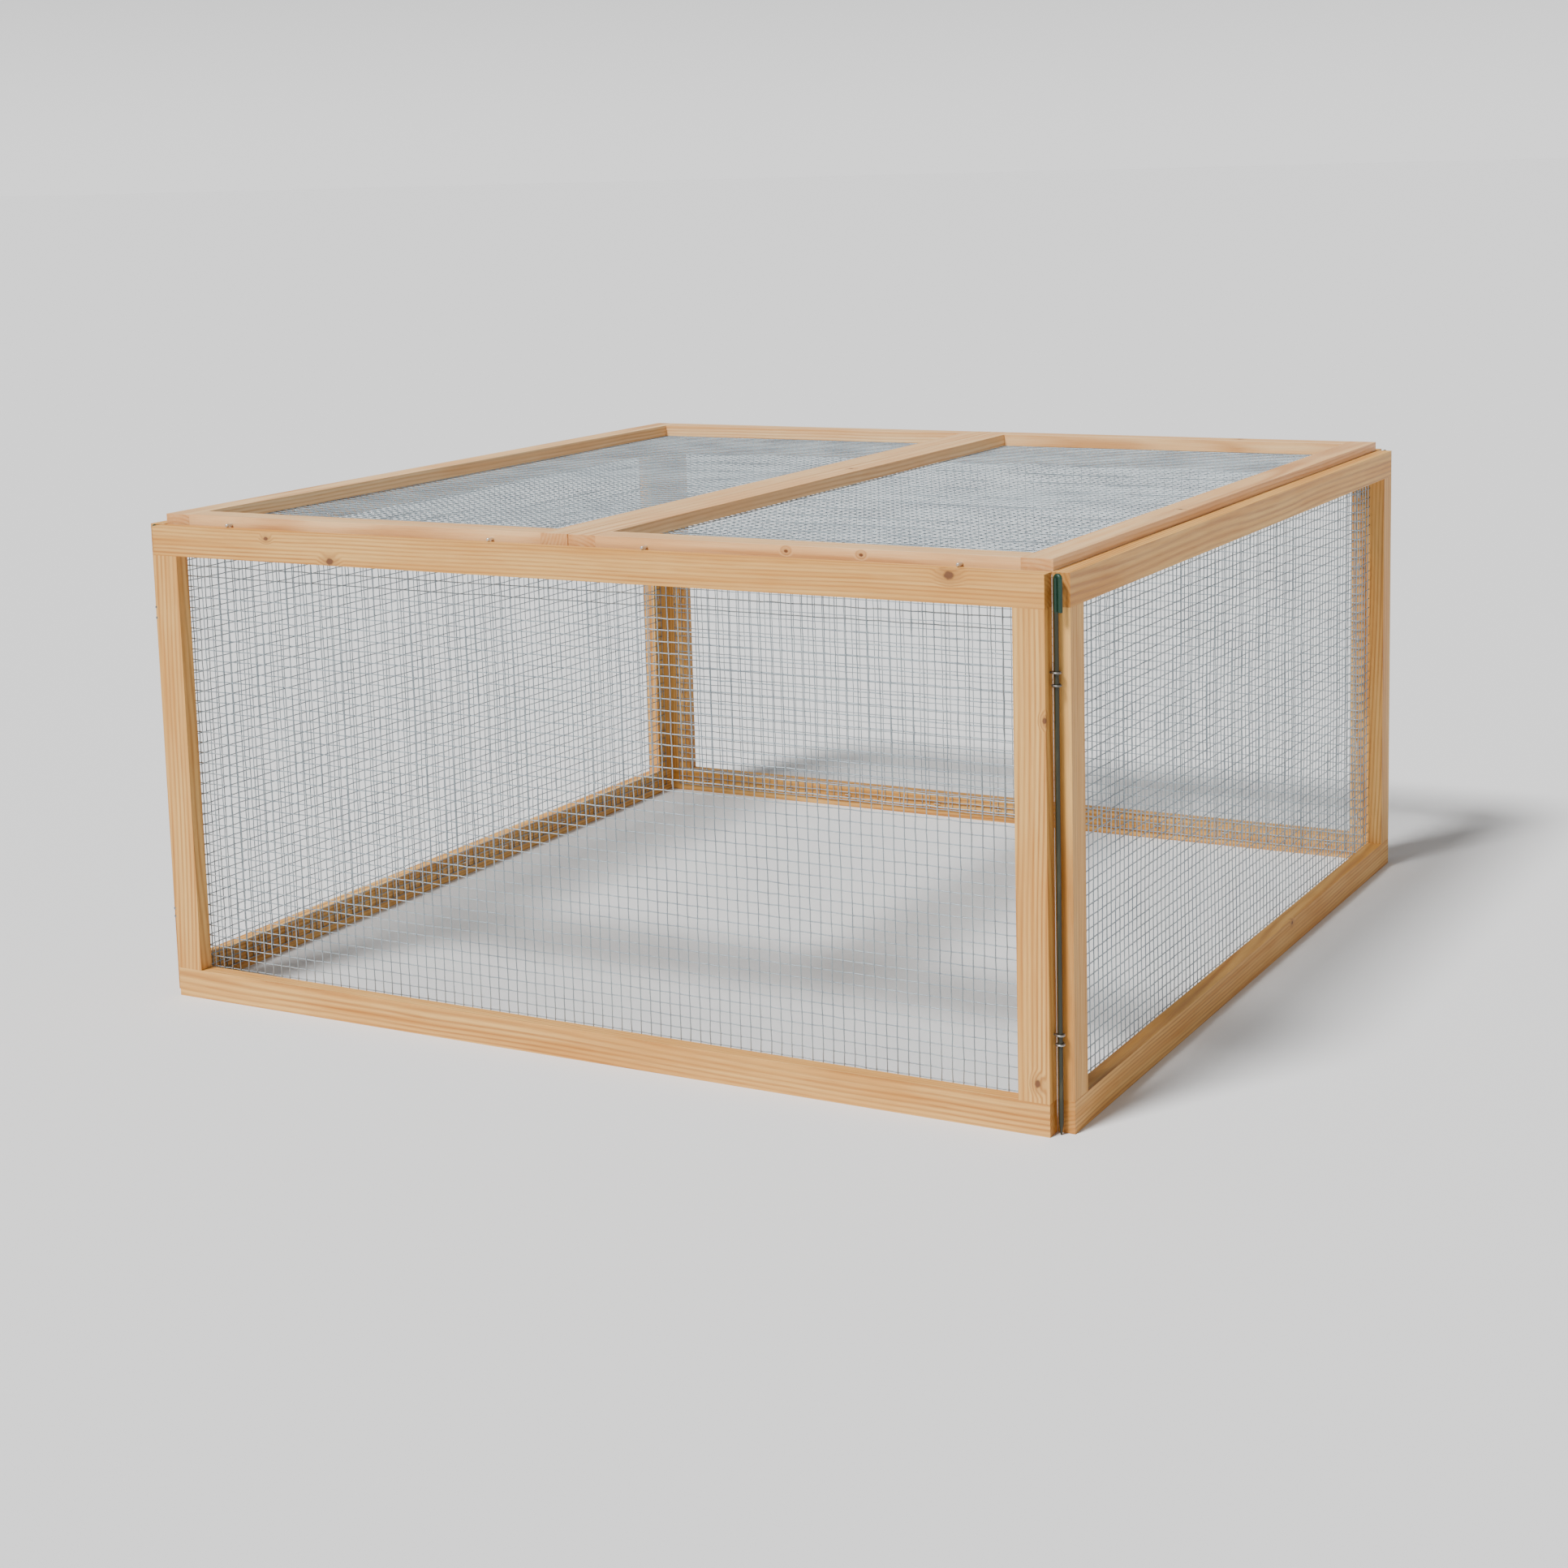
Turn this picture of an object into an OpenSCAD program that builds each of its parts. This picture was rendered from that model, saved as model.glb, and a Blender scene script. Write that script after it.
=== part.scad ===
// Open-bottomed rabbit run: four timber side panels with welded mesh, joined at the corners by
// hooked rods through screw eyes, and a roof of two mesh lids that drop in between the panels.
// Millimetres. Origin: centre of the footprint at ground level. +X right, +Y back, +Z up.

/* [Side panels] */
// Length of each of the four side panels
panel_length = 1150; // [700:10:1800]
// Height of the side panels
panel_height = 580; // [400:10:900]
// Face width of the panel timber
timber_width = 35; // [25:1:60]
// Thickness of the panel timber
timber_thickness = 19.4; // [15:0.1:19.4]

/* [Corner rods] */
// Diameter of the coated corner rods
rod_diameter = 5; // [4:0.5:8]
// From the end of a panel to the axis of its rod
rod_from_end = 7; // [7:0.5:12]
// From the outer face of a panel to the axis of its rod
rod_from_face = 12.5; // [12.5:0.5:16]
// Length of the bent-over leg at the top of a rod
hook_length = 39; // [20:1:60]
// Distance between the axes of the two legs of the bend
hook_spacing = 6; // [5.5:0.5:8]
// Directions of the bent-over legs, in degrees: front right, back right, back left, front left
hook_turns = [335, 90, 180, 140]; // [0:5:355]
// Height of the pointed end of a rod
rod_point = 12; // [4:1:30]

/* [Screw eyes] */
// Wire diameter of a screw eye
eye_wire = 2.2; // [1.5:0.1:3]
// Gap between the rod and the eye all round
eye_gap = 0.6; // [0.3:0.1:1.5]
// Length of the threaded shank inside the timber
eye_bite = 18; // [10:1:30]
// Heights of the two eyes at the right-hand end of a panel, seen from outside
eyes_right = [106, 480]; // [60:1:540]
// Heights of the two eyes at the left-hand end of a panel, seen from outside
eyes_left = [96, 467]; // [60:1:540]

/* [Lids] */
// Face width of the lid timber
lid_width = 35; // [25:1:60]
// Thickness of the lid timber
lid_thickness = 16; // [12:0.5:22]
// How far the lids stand above the side panels
lid_rise = 12; // [8:0.5:16]
// Gap between a lid and the side panel beside it
lid_side_gap = 1; // [0.5:0.5:4]
// Gap between a lid and the front or back panel
lid_end_gap = 6; // [1:0.5:8]
// Gap between the two lids
lid_seam = 1; // [0.5:0.5:3]
// Diameter of the pins that a lid rests on
pin_diameter = 4; // [3:0.5:6]
// How far a pin reaches out of the lid
pin_reach = 10; // [9:1:20]
// From the side of a lid to its pins
pin_inset = 100; // [50:5:200]

/* [Wire mesh] */
// Spacing of the wires of the real mesh
mesh_pitch = 12.7; // [10:0.1:25.4]
// Every how many wires is one drawn here
mesh_every = 4; // [2:1:8]
// Width of a wire
mesh_wire = 1.2; // [0.8:0.1:2]
// Thickness of the mesh, two wires welded across each other
mesh_thickness = 1.6; // [1.2:0.1:3]
// From the edge of a frame to the edge of its mesh, at least
mesh_inset = 6; // [2:1:20]

/* [Staples] */
// Width of a staple
staple_width = 10; // [6:1:14]
// Thickness of the staple wire
staple_wire = 1; // [0.6:0.1:1.5]
// Depth of a staple's legs in the timber
staple_bite = 8; // [5:1:12]
// Distance from one staple to the next
staple_spacing = 127; // [60:1:250]
// From the edge of the mesh to a row of staples
staple_inset = 9; // [4:0.5:12]

/* [Hidden] */
$fn = 32;
clear = 0.3;
wood_pale = [0.86, 0.72, 0.55];
wood_honey = [0.80, 0.62, 0.42];
zinc = [0.72, 0.73, 0.74];
steel = [0.62, 0.63, 0.64];
green = [0.10, 0.30, 0.20];
half = panel_length / 2 + rod_from_end;
outer = half + rod_from_face;
inner = outer - timber_thickness;
step = mesh_pitch * mesh_every;
lid_x0 = lid_seam / 2;
lid_x1 = inner - lid_side_gap;
lid_y = inner - lid_end_gap;
lid_top = panel_height + lid_rise;
lid_low = lid_top - lid_thickness;
lid_mid = (lid_x0 + lid_x1) / 2;

// A panel is drawn standing with its outer face at y = 0 and its length centred on x.
// Side 0 is the front, 1 the right, 2 the back and 3 the left.
module side(k) {
  rotate([0, 0, 90 * k])
    translate([0, -outer, 0])
      children();
}

module rail(z) {
  translate([-panel_length / 2, 0, z])
    cube([panel_length, timber_thickness, timber_width]);
}

module stile(x) {
  translate([x, 0, timber_width])
    cube([timber_width, timber_thickness, panel_height - 2 * timber_width]);
}

function cells(size) = floor((size - 2 * mesh_inset - mesh_wire) / step);

// A sheet of mesh lying on z = 0, centred, with nx by ny openings.
module net(nx, ny) {
  w = nx * step + mesh_wire;
  d = ny * step + mesh_wire;
  linear_extrude(mesh_thickness)
    difference() {
      translate([-w / 2, -d / 2])
        square([w, d]);
      for (i = [0:nx - 1], j = [0:ny - 1])
        translate([mesh_wire - w / 2 + i * step, mesh_wire - d / 2 + j * step])
          square(step - mesh_wire);
    }
}

// A staple over a wire, its crown along x on top of the mesh and its legs down into the timber.
module staple() {
  translate([-staple_width / 2, -staple_wire / 2, mesh_thickness])
    cube([staple_width, staple_wire, staple_wire]);
  for (s = [-1, 1])
    translate([s * (staple_width - staple_wire) / 2 - staple_wire / 2, -staple_wire / 2, -staple_bite])
      cube([staple_wire, staple_wire, staple_bite + mesh_thickness + staple_wire / 2]);
}

// The wire nearest to v, of n + 1 wires spaced evenly about 0; v and -v give mirrored wires.
function on_wire(v, n) = (v < 0 ? -1 : 1) * step * (round(abs(v) / step - n / 2) + n / 2);

// Staples round the rim of a sheet of nx by ny openings: two rows along x, two along y.
module staples(nx, ny) {
  w = nx * step / 2 - staple_inset;
  d = ny * step / 2 - staple_inset;
  for (i = [-floor(w / staple_spacing):floor(w / staple_spacing)], s = [-1, 1])
    translate([on_wire(i * staple_spacing, nx), s * d, 0])
      staple();
  for (j = [-floor(d / staple_spacing):floor(d / staple_spacing)], s = [-1, 1])
    translate([s * w, on_wire(j * staple_spacing, ny), 0])
      rotate([0, 0, 90])
        staple();
}

// Lays a flat sheet against the inner face of a standing panel.
module inside_face() {
  translate([0, timber_thickness, panel_height / 2])
    rotate([-90, 0, 0])
      children();
}

module panel_mesh() {
  inside_face()
    net(cells(panel_length), cells(panel_height));
}

module panel_staples() {
  inside_face()
    staples(cells(panel_length), cells(panel_height));
}

// A screw eye round a rod at the origin, its shank running along -x.
module eye() {
  ring = rod_diameter / 2 + eye_gap + eye_wire / 2;
  rotate_extrude()
    translate([ring, 0])
      circle(d = eye_wire);
  translate([-rod_from_end - eye_bite, 0, 0])
    rotate([0, 90, 0])
      cylinder(d = eye_wire, h = rod_from_end + eye_bite - ring);
}

module panel_eyes() {
  for (z = eyes_right)
    translate([half, rod_from_face, z])
      eye();
  for (z = eyes_left)
    translate([-half, rod_from_face, z])
      rotate([0, 0, 180])
        eye();
}

// A corner rod standing at the origin, its bent-over leg towards +x.
module rod() {
  r = rod_diameter / 2;
  bend = panel_height - hook_spacing / 2 - r;
  translate([0, 0, 0.5])
    cylinder(r1 = r / 3, r2 = r, h = rod_point);
  translate([0, 0, 0.5 + rod_point])
    cylinder(r = r, h = bend - rod_point - 0.5);
  translate([hook_spacing / 2, 0, bend])
    rotate([90, 0, 0])
      rotate_extrude(angle = 180)
        translate([hook_spacing / 2, 0])
          circle(r = r);
  translate([hook_spacing, 0, panel_height - hook_length])
    cylinder(r = r, h = bend - panel_height + hook_length);
}

// Corner 0 is the front right, 1 the back right, 2 the back left and 3 the front left.
module corner(k) {
  rotate([0, 0, 90 * k])
    translate([half, -half, 0])
      rotate([0, 0, hook_turns[k] - 90 * k])
        rod();
}

// The right-hand lid is drawn, and the left-hand one is its mirror image.
module lid_bar(x) {
  translate([x, -lid_y, lid_low])
    cube([lid_width, 2 * lid_y, lid_thickness]);
}

module lid_rail(y) {
  translate([lid_x0 + lid_width, y, lid_low])
    cube([lid_x1 - lid_x0 - 2 * lid_width, lid_width, lid_thickness]);
}

// Lays a flat sheet against the underside of a lid.
module under_lid() {
  translate([lid_mid, 0, lid_low])
    rotate([180, 0, 0])
      children();
}

module lid_mesh() {
  under_lid()
    net(cells(lid_x1 - lid_x0), cells(2 * lid_y));
}

module lid_staples() {
  under_lid()
    staples(cells(lid_x1 - lid_x0), cells(2 * lid_y));
}

module lid_pins() {
  r = pin_diameter / 2;
  for (s = [-1, 1], x = [lid_x0 + pin_inset, lid_x1 - pin_inset])
    translate([x, s * (lid_y - 20), panel_height + clear + r])
      rotate([-90 * s, 0, 0]) {
        cylinder(r = r, h = 20 + pin_reach - 0.6);
        translate([0, 0, 20 + pin_reach - 0.6])
          cylinder(r1 = r, r2 = r - 0.6, h = 0.6);
      }
}

module left_lid() {
  mirror([1, 0, 0])
    children();
}

// Front panel
module front_top_rail() { color(wood_honey) side(0) rail(panel_height - timber_width); }
module front_bottom_rail() { color(wood_honey) side(0) rail(0); }
module front_left_stile() { color(wood_honey) side(0) stile(-panel_length / 2); }
module front_right_stile() { color(wood_honey) side(0) stile(panel_length / 2 - timber_width); }
module front_mesh() { color(zinc) side(0) panel_mesh(); }
module front_staples() { color(steel) side(0) panel_staples(); }
module front_eyes() { color(steel) side(0) panel_eyes(); }

// Right panel
module right_top_rail() { color(wood_honey) side(1) rail(panel_height - timber_width); }
module right_bottom_rail() { color(wood_honey) side(1) rail(0); }
module right_left_stile() { color(wood_honey) side(1) stile(-panel_length / 2); }
module right_right_stile() { color(wood_honey) side(1) stile(panel_length / 2 - timber_width); }
module right_mesh() { color(zinc) side(1) panel_mesh(); }
module right_staples() { color(steel) side(1) panel_staples(); }
module right_eyes() { color(steel) side(1) panel_eyes(); }

// Back panel
module back_top_rail() { color(wood_honey) side(2) rail(panel_height - timber_width); }
module back_bottom_rail() { color(wood_honey) side(2) rail(0); }
module back_left_stile() { color(wood_honey) side(2) stile(-panel_length / 2); }
module back_right_stile() { color(wood_honey) side(2) stile(panel_length / 2 - timber_width); }
module back_mesh() { color(zinc) side(2) panel_mesh(); }
module back_staples() { color(steel) side(2) panel_staples(); }
module back_eyes() { color(steel) side(2) panel_eyes(); }

// Left panel
module left_top_rail() { color(wood_honey) side(3) rail(panel_height - timber_width); }
module left_bottom_rail() { color(wood_honey) side(3) rail(0); }
module left_left_stile() { color(wood_honey) side(3) stile(-panel_length / 2); }
module left_right_stile() { color(wood_honey) side(3) stile(panel_length / 2 - timber_width); }
module left_mesh() { color(zinc) side(3) panel_mesh(); }
module left_staples() { color(steel) side(3) panel_staples(); }
module left_eyes() { color(steel) side(3) panel_eyes(); }

// Left lid
module lid_left_outer_bar() { color(wood_pale) left_lid() lid_bar(lid_x1 - lid_width); }
module lid_left_inner_bar() { color(wood_pale) left_lid() lid_bar(lid_x0); }
module lid_left_front_rail() { color(wood_pale) left_lid() lid_rail(-lid_y); }
module lid_left_back_rail() { color(wood_pale) left_lid() lid_rail(lid_y - lid_width); }
module lid_left_mesh() { color(zinc) left_lid() lid_mesh(); }
module lid_left_staples() { color(steel) left_lid() lid_staples(); }
module lid_left_pins() { color(steel) left_lid() lid_pins(); }

// Right lid
module lid_right_outer_bar() { color(wood_pale) lid_bar(lid_x1 - lid_width); }
module lid_right_inner_bar() { color(wood_pale) lid_bar(lid_x0); }
module lid_right_front_rail() { color(wood_pale) lid_rail(-lid_y); }
module lid_right_back_rail() { color(wood_pale) lid_rail(lid_y - lid_width); }
module lid_right_mesh() { color(zinc) lid_mesh(); }
module lid_right_staples() { color(steel) lid_staples(); }
module lid_right_pins() { color(steel) lid_pins(); }

// Corner rods
module rod_front_left() { color(green) corner(3); }
module rod_front_right() { color(green) corner(0); }
module rod_back_right() { color(green) corner(1); }
module rod_back_left() { color(green) corner(2); }

front_top_rail();
front_bottom_rail();
front_left_stile();
front_right_stile();
front_mesh();
front_staples();
front_eyes();
right_top_rail();
right_bottom_rail();
right_left_stile();
right_right_stile();
right_mesh();
right_staples();
right_eyes();
back_top_rail();
back_bottom_rail();
back_left_stile();
back_right_stile();
back_mesh();
back_staples();
back_eyes();
left_top_rail();
left_bottom_rail();
left_left_stile();
left_right_stile();
left_mesh();
left_staples();
left_eyes();
lid_left_outer_bar();
lid_left_inner_bar();
lid_left_front_rail();
lid_left_back_rail();
lid_left_mesh();
lid_left_staples();
lid_left_pins();
lid_right_outer_bar();
lid_right_inner_bar();
lid_right_front_rail();
lid_right_back_rail();
lid_right_mesh();
lid_right_staples();
lid_right_pins();
rod_front_left();
rod_front_right();
rod_back_right();
rod_back_left();
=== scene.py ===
"""A rabbit run: four mesh panels on corner rods, roofed by two lift-out mesh lids.

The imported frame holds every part's place and size. This script gives the timber its grain, swaps the
coarse sheets of mesh for welded wire four times as fine, and finishes the steel and the coated rods.
"""
import logging
import math
from dataclasses import dataclass, field
from enum import Enum
from typing import Any

import bpy
import numpy as np
from mathutils import Matrix, Vector


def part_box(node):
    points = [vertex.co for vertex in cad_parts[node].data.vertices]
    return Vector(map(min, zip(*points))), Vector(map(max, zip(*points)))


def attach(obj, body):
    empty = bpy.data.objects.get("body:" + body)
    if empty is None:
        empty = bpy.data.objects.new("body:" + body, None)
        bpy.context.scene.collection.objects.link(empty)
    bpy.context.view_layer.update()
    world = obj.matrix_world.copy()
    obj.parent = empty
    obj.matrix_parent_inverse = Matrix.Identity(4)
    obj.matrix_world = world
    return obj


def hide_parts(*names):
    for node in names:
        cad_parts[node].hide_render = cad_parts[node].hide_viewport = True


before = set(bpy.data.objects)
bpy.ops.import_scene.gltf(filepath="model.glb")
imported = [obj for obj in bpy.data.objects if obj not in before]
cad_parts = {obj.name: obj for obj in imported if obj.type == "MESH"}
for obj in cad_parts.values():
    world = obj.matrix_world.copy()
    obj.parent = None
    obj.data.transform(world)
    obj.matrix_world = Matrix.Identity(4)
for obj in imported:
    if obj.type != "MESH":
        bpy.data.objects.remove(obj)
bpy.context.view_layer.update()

log = logging.getLogger("rabbit_run")

MILLIMETRE = 0.001

Colour = tuple[float, float, float, float]
WHITE: Colour = (1.0, 1.0, 1.0, 1.0)


class Finish(Enum):
    """How dull, dark or bright the steel of a part is."""

    DULL = "dull_zinc"
    DARK = "dark_zinc"
    BRIGHT = "bright_zinc"


class Value:
    """A number that varies over a surface, which Python's operators work on."""

    def __init__(self, shader: "Shader", socket: bpy.types.NodeSocket) -> None:
        """Wraps an output.

        Args:
            shader: The tree that later operators add their nodes to.
            socket: The output, of one of its nodes.
        """
        self.shader = shader
        self.socket = socket

    def maths(self, operation: str, *others: Any) -> "Value":
        """Adds one Math node.

        Args:
            operation: The node's operation.
            others: Its second and third inputs, numbers or values.

        Returns:
            The node's result.
        """
        inputs = dict(enumerate((self, *others)))
        return self.shader.value("ShaderNodeMath", {"operation": operation}, inputs)

    def __add__(self, other: Any) -> "Value":
        """Returns self + other."""
        return self.maths("ADD", other)

    __radd__ = __add__

    def __sub__(self, other: Any) -> "Value":
        """Returns self - other."""
        return self.maths("SUBTRACT", other)

    def __rsub__(self, other: Any) -> "Value":
        """Returns other - self."""
        return (self * -1.0) + other

    def __mul__(self, other: Any) -> "Value":
        """Returns self * other."""
        return self.maths("MULTIPLY", other)

    __rmul__ = __mul__

    def __truediv__(self, other: Any) -> "Value":
        """Returns self / other."""
        return self.maths("DIVIDE", other)

    def __pow__(self, other: Any) -> "Value":
        """Returns self ** other."""
        return self.maths("POWER", other)

    def __abs__(self) -> "Value":
        """Returns self without its sign."""
        return self.maths("ABSOLUTE")

    def step(self, low: float, high: float) -> "Value":
        """Returns a smooth step from 0 at low to 1 at high; low may be the larger."""
        if low > high:
            return 1.0 - self.step(high, low)
        settings = {"interpolation_type": "SMOOTHSTEP"}
        values = {"Value": self, "From Min": low, "From Max": high}
        return self.shader.value("ShaderNodeMapRange", settings, values)


class Shader:
    """The node tree of one material, or of the world."""

    def __init__(self, name: str, world: bpy.types.World | None = None) -> None:
        """Makes an empty tree.

        Args:
            name: The name of the new material.
            world: The world whose tree it is instead.
        """
        self.material = world or bpy.data.materials.new(name)
        self.material.use_nodes = True
        self.tree = self.material.node_tree
        self.tree.nodes.clear()

    def node(self, kind: str, settings: dict[str, Any], values: dict[Any, Any]) -> bpy.types.Node:
        """Adds one node.

        Args:
            kind: Blender's name for the type of node.
            settings: The node's own properties, which are set first.
            values: A number, colour, link or Value for each socket named or numbered.

        Returns:
            The node.
        """
        node = self.tree.nodes.new(kind)
        for name, setting in settings.items():
            setattr(node, name, setting)
        for key, value in values.items():
            if isinstance(value, Value):
                value = value.socket
            if isinstance(value, bpy.types.NodeSocket):
                self.tree.links.new(value, node.inputs[key])
            else:
                node.inputs[key].default_value = value
        return node

    def value(self, kind: str, settings: dict[str, Any], values: dict[Any, Any]) -> Value:
        """Adds one node, as node() does, and returns its first output."""
        return Value(self, self.node(kind, settings, values).outputs[0])

    def place(self, output: str = "Object") -> tuple[Value, Value, Value]:
        """Looks up where a point is, or which way its surface faces.

        Args:
            output: "Object" for metres from the piece's origin, "Generated" for the sky's directions,
                or "Normal" for the way that the surface faces.

        Returns:
            Its x, y and z.
        """
        point = self.node("ShaderNodeTexCoord", {}, {}).outputs[output]
        split = self.node("ShaderNodeSeparateXYZ", {}, {0: point})
        return tuple(Value(self, socket) for socket in split.outputs)

    def vector(self, x: Any, y: Any, z: Any) -> bpy.types.NodeSocket:
        """Returns three numbers as one vector."""
        return self.node("ShaderNodeCombineXYZ", {}, {0: x, 1: y, 2: z}).outputs[0]

    def noise(self, where: bpy.types.NodeSocket, scale: float, detail: float = 3.0) -> Value:
        """Makes cloudy noise.

        Args:
            where: The vector that it is read at.
            scale: About how many blotches there are to a unit of that vector.
            detail: How many finer layers it has.

        Returns:
            The noise, from 0 to 1.
        """
        values = {"Vector": where, "Scale": scale, "Detail": detail}
        return self.value("ShaderNodeTexNoise", {}, values)

    def blend(self, share: Value, first: Any, second: Any) -> bpy.types.NodeSocket:
        """Mixes two colours.

        Args:
            share: How much of the second colour, from 0 to 1.
            first: A colour or a link.
            second: A colour or a link.

        Returns:
            The mixed colour.
        """
        settings = {"data_type": "RGBA", "clamp_factor": True}
        return self.node("ShaderNodeMix", settings, {0: share, 6: first, 7: second}).outputs[2]

    def bump(self, height: Value, depth: float) -> bpy.types.NodeSocket:
        """Returns the normal of a surface raised by height, from 0 to 1, times depth in metres."""
        return self.node("ShaderNodeBump", {}, {"Height": height, "Distance": depth}).outputs[0]

    def finish(self, values: dict[str, Any]) -> bpy.types.Material:
        """Ends the tree with the surface that the values describe, and returns the material."""
        surface = self.node("ShaderNodeBsdfPrincipled", {}, values).outputs[0]
        self.node("ShaderNodeOutputMaterial", {}, {"Surface": surface})
        return self.material


def dress(piece: bpy.types.Object, material: bpy.types.Material) -> None:
    """Gives a piece one material, all over.

    Args:
        piece: A CAD piece or one made here.
        material: Its material.
    """
    if not piece.data.materials:
        piece.data.materials.append(material)
    for index in range(len(piece.data.materials)):
        piece.data.materials[index] = material


@dataclass(frozen=True)
class Figure:
    """One kind of mottling, drawn out along a bar or a rod.

    Attributes:
        across: Blotches to a metre across the piece.
        along: Blotches to a metre along it.
        low: The noise at which it begins to show.
        high: The noise at which it shows fully.
        share: How strongly it then shows.
        detail: How many finer layers it has.
    """

    across: float
    along: float
    low: float = 0.0
    high: float = 1.0
    share: float = 1.0
    detail: float = 3.0

    def noise(self, shader: Shader, place: tuple[Value, ...], shift: float = 0.0) -> Value:
        """Makes the mottling.

        Args:
            shader: The piece's shader.
            place: The distances along, across and through the piece.
            shift: How far along its pattern it starts.

        Returns:
            The mottling as plain noise, from 0 to 1.
        """
        along, across, depth = place
        where = shader.vector(across * self.across, depth * self.across, along * self.along + shift)
        return shader.noise(where, 1.0, self.detail)

    def show(self, noise: Value) -> Value:
        """Returns how much of the mottling's colour shows where its noise is as given."""
        return noise.step(self.low, self.high) * self.share


@dataclass(frozen=True)
class Knot:
    """A knot, placed by its shares of a bar's length, width and thickness from the bar's middle.

    Attributes:
        radius: The radius of its dark core, in metres.
        stretch: How many times longer than wide it is.
        lumps: Lumps to a metre in its outline.
        ragged: How uneven the outline is, as a share of the radius.
        core_full: Where the core is fully dark, in radii.
        swirl_start: How far out the grain begins to bend round it, in radii.
        swirl_full: Where the grain is fully bent, in radii.
    """

    along: float
    across: float
    depth: float
    radius: float
    stretch: float = 1.35
    lumps: float = 260.0
    ragged: float = 0.5
    core_full: float = 0.55
    swirl_start: float = 3.2
    swirl_full: float = 0.8

    def masks(self, shader: Shader, place: tuple[Value, ...], sides: list[float]) -> tuple[Value, Value]:
        """Finds where the knot is.

        Args:
            shader: The bar's shader.
            place: The distances along, across and through the bar from its middle.
            sides: The bar's length, width and thickness.

        Returns:
            The dark core, and the swirl of grain round it.
        """
        along, across, depth = place
        length, width, thickness = sides
        x = (along - self.along * length) / self.stretch
        y = across - self.across * width
        z = depth - self.depth * thickness
        where = shader.vector(x * self.lumps, y * self.lumps, z * self.lumps)
        outline = shader.noise(where, 1.0, detail=2.0)
        distance = (x * x + y * y + z * z) ** 0.5 + (outline - 0.5) * self.radius * self.ragged
        core = distance.step(self.radius, self.radius * self.core_full)
        swirl = distance.step(self.radius * self.swirl_start, self.radius * self.swirl_full)
        return core, swirl


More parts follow.
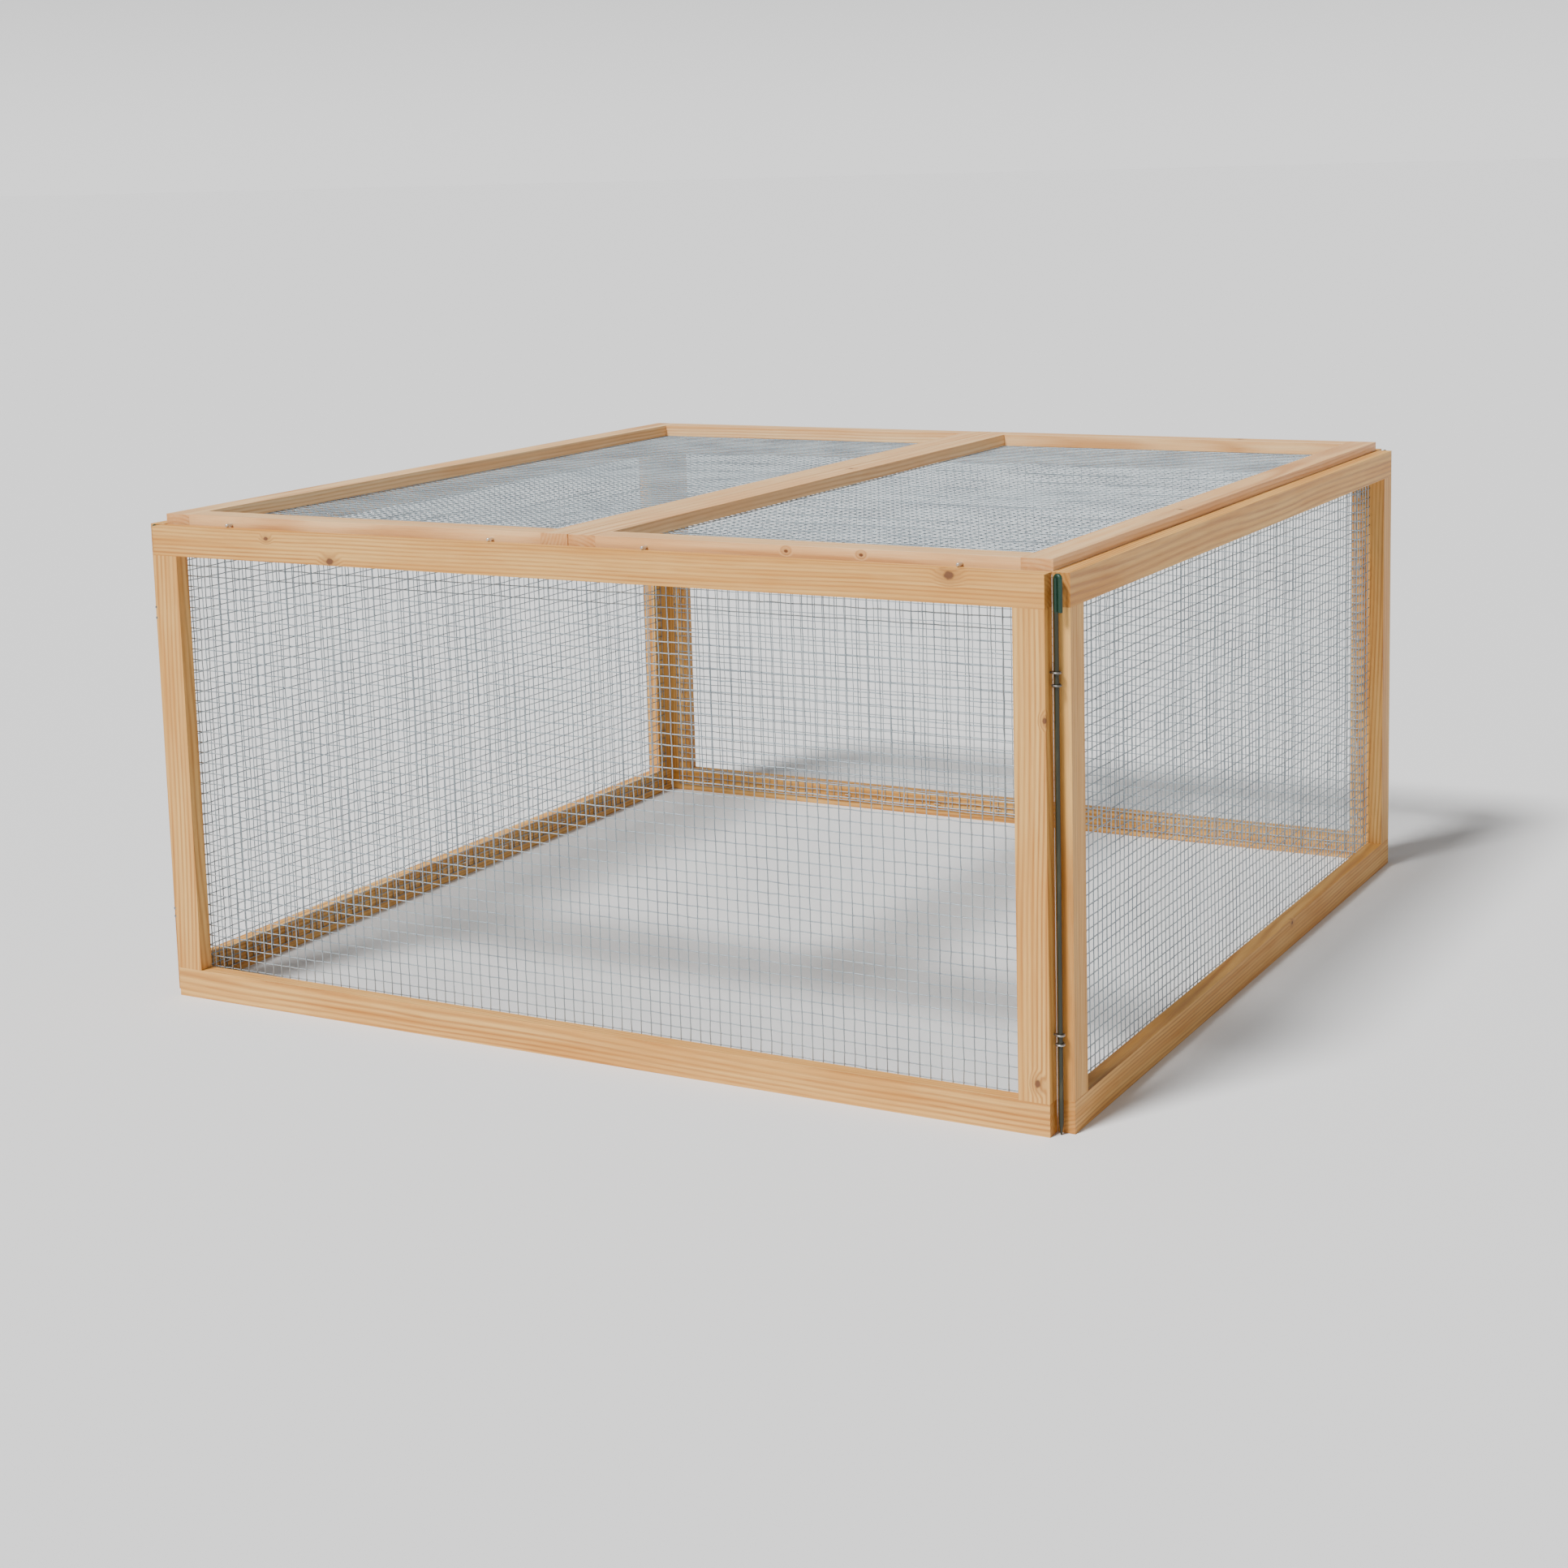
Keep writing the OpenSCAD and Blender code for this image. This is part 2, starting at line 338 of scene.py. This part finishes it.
@dataclass(frozen=True)
class Timber:
    """Planed softwood, grown as one solid so that the faces and the ends of a bar agree.

    Attributes:
        name: The first part of its materials' names.
        pale: The colour of the early wood.
        late: The colour of the dark lines of late wood.
        warm: The colour of the streaks and clouds.
        ring: The width of a year's growth, in metres.
        pith_near: The least distance of a bar from the tree's middle.
        pith_far: The greatest.
        starts: The least and the greatest place in the mottling at which a bar starts.
        lean: The most that a bar runs out of true with the tree, as a slope.
        waver: How far the rings wander, in metres.
        bend: How far they bend round a knot, in metres.
        ring_edge: How narrow the late wood is in a ring.
        ring_least: How strongly the faintest rings show.
        drift: The wandering of the rings.
        strength: Where the rings are strong.
        fibre: The fine fibres.
        streak: Long streaks of colour.
        cloud: Broad clouds of colour.
        ring_share: How much of the late wood's colour a ring has.
        knot_share: How much of the rim's colour the grain round a knot has.
        end_share: How much darker the sawn ends are.
        end_begins: The part of a surface's normal along the grain at which it starts to count as an end.
        end_full: The part at which it is all end.
        roughness: The middling roughness.
        fibre_roughness: How much it varies with the fibres.
        ring_polish: How much smoother the late wood is.
        gloss: The strength of its reflections.
        relief: The depth of its surface, in metres.
        fibre_relief: The fibres' share of that depth.
        ring_relief: The rings' share.
        knot_hollow: How far the knots are sunk, as a share.
        knot_dark: The colour of a knot's core.
        knot_rim: The colour round it.
    """

    name: str
    pale: Colour
    late: Colour
    warm: Colour
    ring: float = 0.0046
    pith_near: float = 0.045
    pith_far: float = 0.11
    starts: tuple[float, float] = (1, 90)
    lean: float = 0.022
    waver: float = 0.013
    bend: float = 0.006
    ring_edge: float = 1.7
    ring_least: float = 0.3
    drift: Figure = Figure(across=9, along=2.2, detail=2.0)
    strength: Figure = Figure(across=55, along=3, low=0.25, high=0.7, share=0.6, detail=2.0)
    fibre: Figure = Figure(across=1500, along=34, low=0.42, high=0.72, share=0.22)
    streak: Figure = Figure(across=95, along=1.7, low=0.38, high=0.62, share=0.6)
    cloud: Figure = Figure(across=12, along=5, low=0.38, high=0.66, share=0.4)
    ring_share: float = 0.8
    knot_share: float = 0.45
    end_share: float = 0.5
    end_begins: float = 0.6
    end_full: float = 0.9
    roughness: float = 0.58
    fibre_roughness: float = 0.16
    ring_polish: float = 0.06
    gloss: float = 0.45
    relief: float = 0.28 * MILLIMETRE
    fibre_relief: float = 0.55
    ring_relief: float = 0.35
    knot_hollow: float = 0.3
    knot_dark: Colour = (0.16, 0.060, 0.020, 1.0)
    knot_rim: Colour = (0.34, 0.145, 0.040, 1.0)

    def material(self, node: str, seed: int, knots: tuple[Knot, ...]) -> bpy.types.Material:
        """Makes the wood of one bar.

        Args:
            node: The bar's CAD node, whose box gives the run of the grain.
            seed: Chooses where in the tree the bar was cut.
            knots: The bar's knots.

        Returns:
            The bar's material.
        """
        low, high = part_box(node)
        size, middle = high - low, (high + low) / 2
        order = sorted(range(3), key=lambda axis: -size[axis])
        rng = np.random.default_rng(seed)
        shader = Shader(f"{self.name}_{node}")
        point = shader.place()
        place = tuple(point[axis] - middle[axis] for axis in order)
        along, across, depth = place
        turn, reach = rng.uniform(0, math.tau), rng.uniform(self.pith_near, self.pith_far)
        start = float(rng.uniform(*self.starts))
        lean_across, lean_depth = rng.uniform(-self.lean, self.lean, 2)
        u = across - reach * math.cos(turn) + along * float(lean_across)
        v = depth - reach * math.sin(turn) + along * float(lean_depth)
        drift = self.drift.noise(shader, place, start)
        core, swirl = self.knot_masks(shader, place, [size[axis] for axis in order], knots)
        radius = (u * u + v * v) ** 0.5 + (drift - 0.5) * self.waver + swirl * self.bend
        rings = self.growth_rings(radius, self.strength.noise(shader, place, start))
        fibre = self.fibre.noise(shader, place, start)
        streak = self.streak.noise(shader, place, -start)
        cloud = self.cloud.noise(shader, place, start * 2)
        colour = shader.blend(self.streak.show(streak) + self.cloud.show(cloud), self.pale, self.warm)
        colour = shader.blend(rings * self.ring_share + self.fibre.show(fibre), colour, self.late)
        colour = shader.blend(swirl * self.knot_share, colour, self.knot_rim)
        colour = shader.blend(core, colour, self.knot_dark)
        sawn = abs(shader.place("Normal")[order[0]]).step(self.end_begins, self.end_full)
        colour = shader.blend(sawn * self.end_share, colour, self.late)
        height = fibre * self.fibre_relief + rings * self.ring_relief - core * self.knot_hollow
        smoothest = self.roughness - self.fibre_roughness / 2
        return shader.finish({
            "Base Color": colour,
            "Roughness": fibre * self.fibre_roughness + smoothest - rings * self.ring_polish,
            "Normal": shader.bump(height, self.relief),
            "Specular IOR Level": self.gloss,
        })

    def growth_rings(self, radius: Value, strength: Value) -> Value:
        """Makes the rings.

        Args:
            radius: The distance from the tree's middle, in metres.
            strength: The noise that says where the rings are strong.

        Returns:
            How much late wood there is, from 0 to 1.
        """
        wave = (radius * (math.tau / self.ring)).maths("SINE") * 0.5 + 0.5
        return (wave ** self.ring_edge) * (self.strength.show(strength) + self.ring_least)

    def knot_masks(self, shader: Shader, place: tuple[Value, ...], sides: list[float],
                   knots: tuple[Knot, ...]) -> tuple[Value, Value]:
        """Finds where a bar's knots are.

        Args:
            shader: The bar's shader.
            place: The distances along, across and through the bar from its middle.
            sides: The bar's length, width and thickness.
            knots: The bar's knots.

        Returns:
            The dark cores, and the swirl of grain round them.
        """
        core = swirl = place[0] * 0.0
        for knot in knots:
            one_core, one_swirl = knot.masks(shader, place, sides)
            core = core.maths("MAXIMUM", one_core)
            swirl = swirl.maths("MAXIMUM", one_swirl)
        return core, swirl


@dataclass(frozen=True)
class Zinc:
    """Zinc on steel wire, dull or bright, with faint crystals.

    Attributes:
        kind: Which of the three finishes it is.
        light: Its colour between the marks.
        dark: The colour of the marks.
        grain: Crystals to a metre.
        stains: Blotches of tarnish to a metre.
        grain_range: The noise at which the crystals begin to show, and at which they show fully.
        stain_range: The same for the tarnish.
        grain_share: How much the crystals darken it.
        stain_share: How much the tarnish does.
        shine: The least roughness.
        grain_roughness: How much the crystals add to that.
        stain_roughness: How much the tarnish adds.
        metallic: How far it is bare metal.
        relief: The height of the crystals, in metres.
    """

    kind: Finish
    light: Colour
    dark: Colour
    grain: float = 900.0
    stains: float = 14.0
    grain_range: tuple[float, float] = (0.3, 0.7)
    stain_range: tuple[float, float] = (0.35, 0.7)
    grain_share: float = 0.45
    stain_share: float = 0.5
    shine: float = 0.38
    grain_roughness: float = 0.2
    stain_roughness: float = 0.15
    metallic: float = 0.9
    relief: float = 0.04 * MILLIMETRE

    def material(self) -> bpy.types.Material:
        """Makes the finish."""
        shader = Shader(self.kind.value)
        place = shader.node("ShaderNodeTexCoord", {}, {}).outputs["Object"]
        crystal = shader.noise(place, self.grain)
        tarnish = shader.noise(place, self.stains)
        marks = crystal.step(*self.grain_range) * self.grain_share
        shade = marks + tarnish.step(*self.stain_range) * self.stain_share
        return shader.finish({
            "Base Color": shader.blend(shade, self.light, self.dark),
            "Metallic": self.metallic,
            "Roughness": crystal * self.grain_roughness + tarnish * self.stain_roughness + self.shine,
            "Normal": shader.bump(crystal, self.relief),
        })


@dataclass(frozen=True)
class GreenCoat:
    """A corner rod's green coat, with painted shade: the straight part is painted a dark, brownish green
    for the corner's shade, and the bent-over top is green.

    Attributes:
        name: The material's name.
        fresh: The green of the hook.
        rubbed: The green where it is rubbed.
        painted_rod_shade: Painted shade: the dark, brownish green that the straight part is given for
            the corner's shade.
        painted_rod_shade_worn: That painted shade where the coat is worn.
        hook_foot: The height at which the painted shade gives way to the green of the hook, in metres.
        fade: How far either side of that height the two colours run together.
        drawn: Fine lines along the rod.
        rubs: Rubbed places.
        hook_wear: How much of the rubbed colour shows on the hook.
        rod_wear: How much of the worn colour shows on the straight part.
        shine: The least roughness.
        line_roughness: How much the lines add to that.
        rub_roughness: How much the rubs add.
        relief: The depth of the surface, in metres.
    """

    name: str = "green_coat"
    fresh: Colour = (0.002, 0.032, 0.016, 1.0)
    rubbed: Colour = (0.006, 0.060, 0.032, 1.0)
    painted_rod_shade: Colour = (0.020, 0.021, 0.008, 1.0)
    painted_rod_shade_worn: Colour = (0.062, 0.056, 0.026, 1.0)
    hook_foot: float = 0.541
    fade: float = 2 * MILLIMETRE
    drawn: Figure = Figure(across=700, along=60)
    rubs: Figure = Figure(across=160, along=22, low=0.5, high=0.72)
    hook_wear: float = 0.8
    rod_wear: float = 0.7
    shine: float = 0.3
    line_roughness: float = 0.2
    rub_roughness: float = 0.15
    relief: float = 0.12 * MILLIMETRE

    def material(self) -> bpy.types.Material:
        """Makes the finish."""
        shader = Shader(self.name)
        x, y, z = shader.place()
        lines = self.drawn.noise(shader, (z, x, y))
        rubs = self.rubs.noise(shader, (z, x, y))
        worn = self.rubs.show(rubs)
        green = shader.blend(worn * self.hook_wear, self.fresh, self.rubbed)
        # painted shade: the straight part stands in the corner's shade, so its green is painted dark and
        # brownish, with worn places on it
        dark = shader.blend(worn * self.rod_wear, self.painted_rod_shade, self.painted_rod_shade_worn)
        # painted shade below hook_foot, the green of the hook above it
        hook = z.step(self.hook_foot - self.fade, self.hook_foot + self.fade)
        return shader.finish({
            "Base Color": shader.blend(hook, dark, green),
            "Roughness": lines * self.line_roughness + rubs * self.rub_roughness + self.shine,
            "Normal": shader.bump((lines + rubs) * 0.5, self.relief),
        })


PANEL_TIMBER = Timber(
    "panel_timber",
    pale=(0.78, 0.450, 0.135, 1.0),
    late=(0.38, 0.130, 0.016, 1.0),
    warm=(0.62, 0.275, 0.050, 1.0),
)
LID_TIMBER = Timber(
    "lid_timber",
    pale=(0.90, 0.610, 0.310, 1.0),
    late=(0.56, 0.240, 0.070, 1.0),
    warm=(0.80, 0.430, 0.165, 1.0),
    roughness=0.5,
)
STEEL = (
    Zinc(Finish.DULL, light=(0.46, 0.52, 0.55, 1.0), dark=(0.25, 0.29, 0.32, 1.0)),
    Zinc(Finish.DARK, light=(0.42, 0.40, 0.37, 1.0), dark=(0.09, 0.085, 0.08, 1.0), shine=0.28),
    Zinc(Finish.BRIGHT, light=(0.74, 0.73, 0.70, 1.0), dark=(0.45, 0.45, 0.44, 1.0), shine=0.2),
)
FITTING_FINISH = {"staples": Finish.BRIGHT, "pins": Finish.BRIGHT, "eyes": Finish.DARK}


@dataclass
class WireSheet:
    """A sheet of welded mesh with all its wires, a little slack in the middle.

    Attributes:
        node: The CAD's coarse sheet, which this one takes the place of.
        body: The body that it rides on.
        slack: How far its middle stands off the frame, in metres.
        seed: Chooses how its wires wander and how it ripples.
        pitch: From wire to wire.
        wire: The wires' diameter.
        weld: How far crossing wires sink into each other.
        wander: How far a wire strays from its true line.
        sides: The flats round a wire.
        fullness: How quickly the slack grows from the edges; less is quicker.
        level: The even part of the slack, as a share.
        wave_height: The share that rises and falls in broad waves.
        waves: How fast those run along the two sides, as angles from edge to edge.
        ripple_height: The share that ripples along the second side.
        ripples: How fast those run, in the same way.
        phase_step: How far the waves shift from one seed to the next.
        rng: The sheet's own random numbers.
    """

    node: str
    body: str
    slack: float
    seed: int
    pitch: float = 12.7 * MILLIMETRE
    wire: float = 1.3 * MILLIMETRE
    weld: float = 0.35 * MILLIMETRE
    wander: float = 0.22 * MILLIMETRE
    sides: int = 6
    fullness: float = 0.7
    level: float = 0.62
    wave_height: float = 0.23
    waves: tuple[float, float] = (9.1, 6.3)
    ripple_height: float = 0.15
    ripples: float = 17.0
    phase_step: float = 1.7
    rng: np.random.Generator = field(init=False)

    def __post_init__(self) -> None:
        """Starts the sheet's own random numbers."""
        self.rng = np.random.default_rng(self.seed)

    def build(self, material: bpy.types.Material) -> bpy.types.Object:
        """Makes the sheet, in place of the CAD's coarse one.

        Args:
            material: The wire's finish.

        Returns:
            The sheet.
        """
        low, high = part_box(self.node)
        size, middle = high - low, (high + low) / 2
        thin, short, long = sorted(range(3), key=lambda axis: size[axis])
        inward = -1.0 if middle[thin] > 0 else 1.0
        plane = low[thin] if inward > 0 else high[thin]
        layers = []
        for layer, (run, stack) in enumerate(((short, long), (long, short))):
            depth = self.wire / 2 + layer * (self.wire - self.weld)
            layers.append(self.lay_wires(low, size, run, stack, thin, plane, inward, depth))
        (outer_points, outer_faces), (inner_points, inner_faces) = layers
        points = np.concatenate((outer_points, inner_points))
        faces = outer_faces + [tuple(i + len(outer_points) for i in face) for face in inner_faces]
        mesh = bpy.data.meshes.new(f"{self.node}_wire")
        mesh.from_pydata(points.tolist(), [], faces)
        mesh.validate()
        mesh.shade_smooth()
        sheet = bpy.data.objects.new(f"{self.node}_wire", mesh)
        bpy.context.scene.collection.objects.link(sheet)
        dress(sheet, material)
        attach(sheet, self.body)
        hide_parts(self.node)
        log.info("%s: %d faces", sheet.name, len(faces))
        return sheet

    def lay_wires(self, low: Vector, size: Vector, run: int, stack: int, thin: int, plane: float,
                  inward: float, depth: float) -> tuple[np.ndarray, list[tuple[int, ...]]]:
        """Lays one layer of parallel wires.

        Args:
            low: The lowest corner of the sheet's box.
            size: The size of the box.
            run: The axis that the wires run along.
            stack: The axis that they are spaced along.
            thin: The axis across the sheet.
            plane: Where on that axis the sheet meets its timber.
            inward: Which way on that axis leads off the timber.
            depth: How far the wires' axes are off the timber.

        Returns:
            The points, and the faces that join them.
        """
        wires = round((size[stack] - self.wire) / self.pitch) + 1
        rings = round((size[run] - self.wire) / self.pitch) + 1
        s = np.linspace(0, 1, wires)[:, None] * np.ones((1, rings))
        t = np.linspace(0, 1, rings)[None, :] * np.ones((wires, 1))
        u, v = (t, s) if run < stack else (s, t)
        path = np.zeros((wires, rings, 3))
        path[..., run] = low[run] + t * size[run]
        path[..., stack] = low[stack] + self.wire / 2 + s * (size[stack] - self.wire)
        path[..., stack] += self.rng.normal(0, self.wander, path.shape[:2])
        path[..., thin] = plane + inward * (depth + self.sag(u, v))
        angles = np.arange(self.sides) * math.tau / self.sides
        ring = np.zeros((self.sides, 3))
        ring[:, stack] = np.cos(angles) * self.wire / 2
        ring[:, thin] = np.sin(angles) * self.wire / 2
        points = (path[:, :, None, :] + ring).reshape(-1, 3)
        return points, self.skin(wires, rings)

    def sag(self, u: np.ndarray, v: np.ndarray) -> np.ndarray:
        """Returns how far the sheet stands off its frame at shares u and v of its two sides."""
        phase = self.seed * self.phase_step
        belly = np.sin(math.pi * u) * np.sin(math.pi * v)
        waves = np.sin(self.waves[0] * u + phase) * np.cos(self.waves[1] * v - phase)
        ripples = np.sin(self.ripples * v + phase)
        height = self.level + self.wave_height * waves + self.ripple_height * ripples
        return self.slack * np.clip(belly, 0, 1) ** self.fullness * height

    def skin(self, wires: int, rings: int) -> list[tuple[int, ...]]:
        """Joins rings of points into closed wires.

        Args:
            wires: The number of wires.
            rings: The rings of points on each.

        Returns:
            The faces.
        """
        faces = []
        for wire in range(wires):
            base = wire * rings * self.sides
            for ring in range(rings - 1):
                start = base + ring * self.sides
                for side in range(self.sides):
                    after = (side + 1) % self.sides
                    faces.append((start + side, start + after,
                                  start + self.sides + after, start + self.sides + side))
            faces.append(tuple(base + side for side in reversed(range(self.sides))))
            last = base + (rings - 1) * self.sides
            faces.append(tuple(last + side for side in range(self.sides)))
        return faces


@dataclass
class Frame:
    """What a side panel and a lid have in common: bars of timber, a sheet of mesh and its staples.

    Attributes:
        name: How its CAD nodes' names begin.
        body: The body that its mesh rides on.
        seed: Chooses its grain, its chance knots and the ripple of its mesh.
        timber: What its bars are made of.
        bars: How its bars' names end.
        fittings: How its steel nodes' names end.
        knots: The knots of the bars that have set ones.
        slack: How far the middle of the mesh stands off the bars.
        arris: The width taken off the timber's edges.
        burr: The width taken off the steel's edges.
        facets: The flats that round an edge.
        edge_angle: How far the surface has to turn at an edge for it to be rounded.
        seam: How near points of a CAD piece are joined before its edges are found.
        most_bars: The room for bars between one frame's seeds and the next one's.
        knot_seeds: How far the seeds for chance knots are from those.
        knot_reach: How far from the middle of a bar a chance knot may be, as a share.
        knot_radii: The least and the greatest radius of one.
    """

    name: str
    body: str
    seed: int
    timber: Timber
    bars: tuple[str, ...]
    fittings: tuple[str, ...]
    knots: dict[str, tuple[Knot, ...]]
    slack: float = 3 * MILLIMETRE
    arris: float = 0.2 * MILLIMETRE
    burr: float = 0.2 * MILLIMETRE
    facets: int = 2
    edge_angle: float = math.radians(40)
    seam: float = 0.01 * MILLIMETRE
    most_bars: int = 16
    knot_seeds: int = 500
    knot_reach: float = 0.45
    knot_radii: tuple[float, float] = (0.0020, 0.0042)

    def build(self, finishes: dict[Finish, bpy.types.Material]) -> None:
        """Dresses the timber and the fittings, and makes the mesh.

        Args:
            finishes: The shared finishes, by name.
        """
        for index, bar in enumerate(self.bars):
            self.dress_bar(f"{self.name}_{bar}", self.seed * self.most_bars + index)
        for fitting in self.fittings:
            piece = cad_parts[f"{self.name}_{fitting}"]
            dress(piece, finishes[FITTING_FINISH[fitting]])
            self.soften(piece, self.burr)
            log.info("%s: %s", piece.name, piece.data.materials[0].name)
        sheet = WireSheet(f"{self.name}_mesh", self.body, self.slack, self.seed)
        sheet.build(finishes[Finish.DULL])

    def dress_bar(self, node: str, seed: int) -> None:
        """Grows the wood of one bar and takes the sharpness off its edges.

        Args:
            node: The bar's CAD node.
            seed: Chooses its grain, and its knots where none are set.
        """
        knots = self.knots.get(node)
        if knots is None:
            knots = self.chance_knots(seed)
        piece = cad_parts[node]
        dress(piece, self.timber.material(node, seed, knots))
        self.soften(piece, self.arris)
        log.info("%s: %s, %d knots", node, self.timber.name, len(knots))

    def chance_knots(self, seed: int) -> tuple[Knot, ...]:
        """Returns at most one knot, on one face or the other, where the seed puts it."""
        rng = np.random.default_rng(seed + self.knot_seeds)
        if not rng.integers(0, 2):
            return ()
        along = float(rng.uniform(-self.knot_reach, self.knot_reach))
        across = float(rng.uniform(-self.knot_reach, self.knot_reach))
        depth = float(rng.choice((-0.5, 0.5)))
        return (Knot(along, across, depth, float(rng.uniform(*self.knot_radii))),)

    def soften(self, piece: bpy.types.Object, width: float) -> None:
        """Rounds a CAD piece's edges by a modifier, which leaves its own mesh alone.

        Args:
            piece: The CAD piece.
            width: How much of its edges is taken off.
        """
        weld = piece.modifiers.new("weld", "WELD")
        weld.merge_threshold = self.seam
        bevel = piece.modifiers.new("arris", "BEVEL")
        bevel.width = width
        bevel.segments = self.facets
        bevel.limit_method = "ANGLE"
        bevel.angle_limit = self.edge_angle


@dataclass
class CornerRod:
    """A rod through the screw eyes of one corner, with a bent-over top.

    Attributes:
        corner: How its CAD node's name ends.
    """

    corner: str

    def build(self, material: bpy.types.Material) -> None:
        """Coats the rod.

        Args:
            material: The coat, which all four share.
        """
        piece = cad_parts[f"rod_{self.corner}"]
        dress(piece, material)
        log.info("%s: green coat", piece.name)


@dataclass
class Studio:
    """A plain pale floor, soft light, and the camera.

    Attributes:
        stand: Where the camera stands.
        pitch: How far it looks down.
        heading: How far it is turned to its right from looking straight at the front.
        roll: How far it leans.
        lens: Its focal length, in millimetres.
        sensor: The width of its sensor, in millimetres.
        shift: How far its view is moved up, as a share of its width; below 0 is down.
        floor_half: Half of the floor's width.
        floor_white: How white the floor is.
        floor_roughness: Its roughness.
        overhead: The strength of the light from above.
        horizon: Its strength near the horizon.
        band: The height over which the one fades to the other, as the upward part of a direction.
        sun: The direction of the broad lamp, seen from the run.
        sun_strength: Its strength.
        sun_spread: How wide it looks, as an angle.
    """

    stand: Vector = field(default_factory=lambda: Vector((1.5748, -2.9493, 0.9786)))
    pitch: float = math.radians(8.53)
    heading: float = math.radians(-28.74)
    roll: float = math.radians(-1.49)
    lens: float = 60.1
    sensor: float = 36.0
    shift: float = -0.14
    floor_half: float = 400.0
    floor_white: float = 0.80
    floor_roughness: float = 0.9
    overhead: float = 0.30
    horizon: float = 1.38
    band: float = 0.22
    sun: Vector = field(default_factory=lambda: Vector((-0.30, -0.84, 1.30)))
    sun_strength: float = 5.4
    sun_spread: float = math.radians(14)

    def build(self) -> None:
        """Makes everything that isn't part of the run."""
        self.build_camera()
        self.build_floor()
        self.build_sun()
        self.build_sky()

    def build_camera(self) -> None:
        """Stands the camera to the right of the front, looking a little down."""
        ahead = Vector((
            math.sin(self.heading) * math.cos(self.pitch),
            math.cos(self.heading) * math.cos(self.pitch),
            -math.sin(self.pitch),
        ))
        level = Vector((math.cos(self.heading), -math.sin(self.heading), 0.0))
        upright = level.cross(ahead)
        right = math.cos(self.roll) * level + math.sin(self.roll) * upright
        up = math.cos(self.roll) * upright - math.sin(self.roll) * level
        data = bpy.data.cameras.new("camera")
        data.lens = self.lens
        data.sensor_width = self.sensor
        data.shift_y = self.shift
        camera = bpy.data.objects.new("camera", data)
        turn = Matrix((right, up, -ahead)).transposed().to_4x4()
        camera.matrix_world = Matrix.Translation(self.stand) @ turn
        bpy.context.scene.collection.objects.link(camera)
        bpy.context.scene.camera = camera

    def build_floor(self) -> None:
        """Lays the floor under the run."""
        half = self.floor_half
        mesh = bpy.data.meshes.new("floor")
        corners = [(-half, -half, 0), (half, -half, 0), (half, half, 0), (-half, half, 0)]
        mesh.from_pydata(corners, [], [(0, 1, 2, 3)])
        floor = bpy.data.objects.new("floor", mesh)
        bpy.context.scene.collection.objects.link(floor)
        white = (self.floor_white, self.floor_white, self.floor_white, 1.0)
        dress(floor, Shader("floor").finish({"Base Color": white, "Roughness": self.floor_roughness}))

    def build_sky(self) -> None:
        """Fills the room with light, dim overhead and as bright as the floor near the horizon."""
        world = bpy.data.worlds.new("studio")
        shader = Shader("studio", world)
        height = shader.place("Generated")[2]
        strength = height.step(0.0, self.band) * (self.overhead - self.horizon) + self.horizon
        values = {"Color": WHITE, "Strength": strength}
        light = shader.node("ShaderNodeBackground", {}, values).outputs[0]
        shader.node("ShaderNodeOutputWorld", {}, {"Surface": light})
        bpy.context.scene.world = world

    def build_sun(self) -> None:
        """Adds one broad, distant lamp."""
        data = bpy.data.lights.new("key", "SUN")
        data.energy = self.sun_strength
        data.angle = self.sun_spread
        lamp = bpy.data.objects.new("key", data)
        lamp.rotation_euler = (-self.sun).to_track_quat("-Z", "Y").to_euler()
        bpy.context.scene.collection.objects.link(lamp)


def panels() -> list[Frame]:
    """Returns the four side panels."""
    bars = ("top_rail", "bottom_rail", "left_stile", "right_stile")
    knots = {
        "front_top_rail": (
            Knot(-0.35, 0.28, -0.5, 0.0030),
            Knot(-0.27, -0.36, -0.5, 0.0050),
            Knot(0.41, 0.33, -0.5, 0.0055),
        ),
        "front_right_stile": (Knot(0.28, 0.46, -0.5, 0.0030), Knot(-0.46, 0.12, -0.5, 0.0040)),
        "front_left_stile": (),
        "front_bottom_rail": (),
    }
    return [
        Frame(side, "run", seed, PANEL_TIMBER, bars, ("staples", "eyes"), knots)
        for seed, side in enumerate(("front", "right", "back", "left"), start=1)
    ]


def lids() -> list[Frame]:
    """Returns the two lids."""
    bars = ("outer_bar", "inner_bar", "front_rail", "back_rail")
    knots = {"lid_right_front_rail": (Knot(-0.03, -0.5, 0.1, 0.0022), Knot(0.145, -0.5, 0.1, 0.0022))}
    return [
        Frame(name, name, seed, LID_TIMBER, bars, ("staples", "pins"), knots, slack=5 * MILLIMETRE)
        for seed, name in enumerate(("lid_left", "lid_right"), start=5)
    ]


def main() -> None:
    """Builds the run's looks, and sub-assembly by sub-assembly."""
    logging.basicConfig(level=logging.INFO, format="%(name)s: %(message)s")
    Studio().build()
    finishes = {zinc.kind: zinc.material() for zinc in STEEL}
    for part in [*panels(), *lids()]:
        part.build(finishes)
    coat = GreenCoat().material()
    for corner in ("front_left", "front_right", "back_right", "back_left"):
        CornerRod(corner).build(coat)


if __name__ == "__main__":
    main()
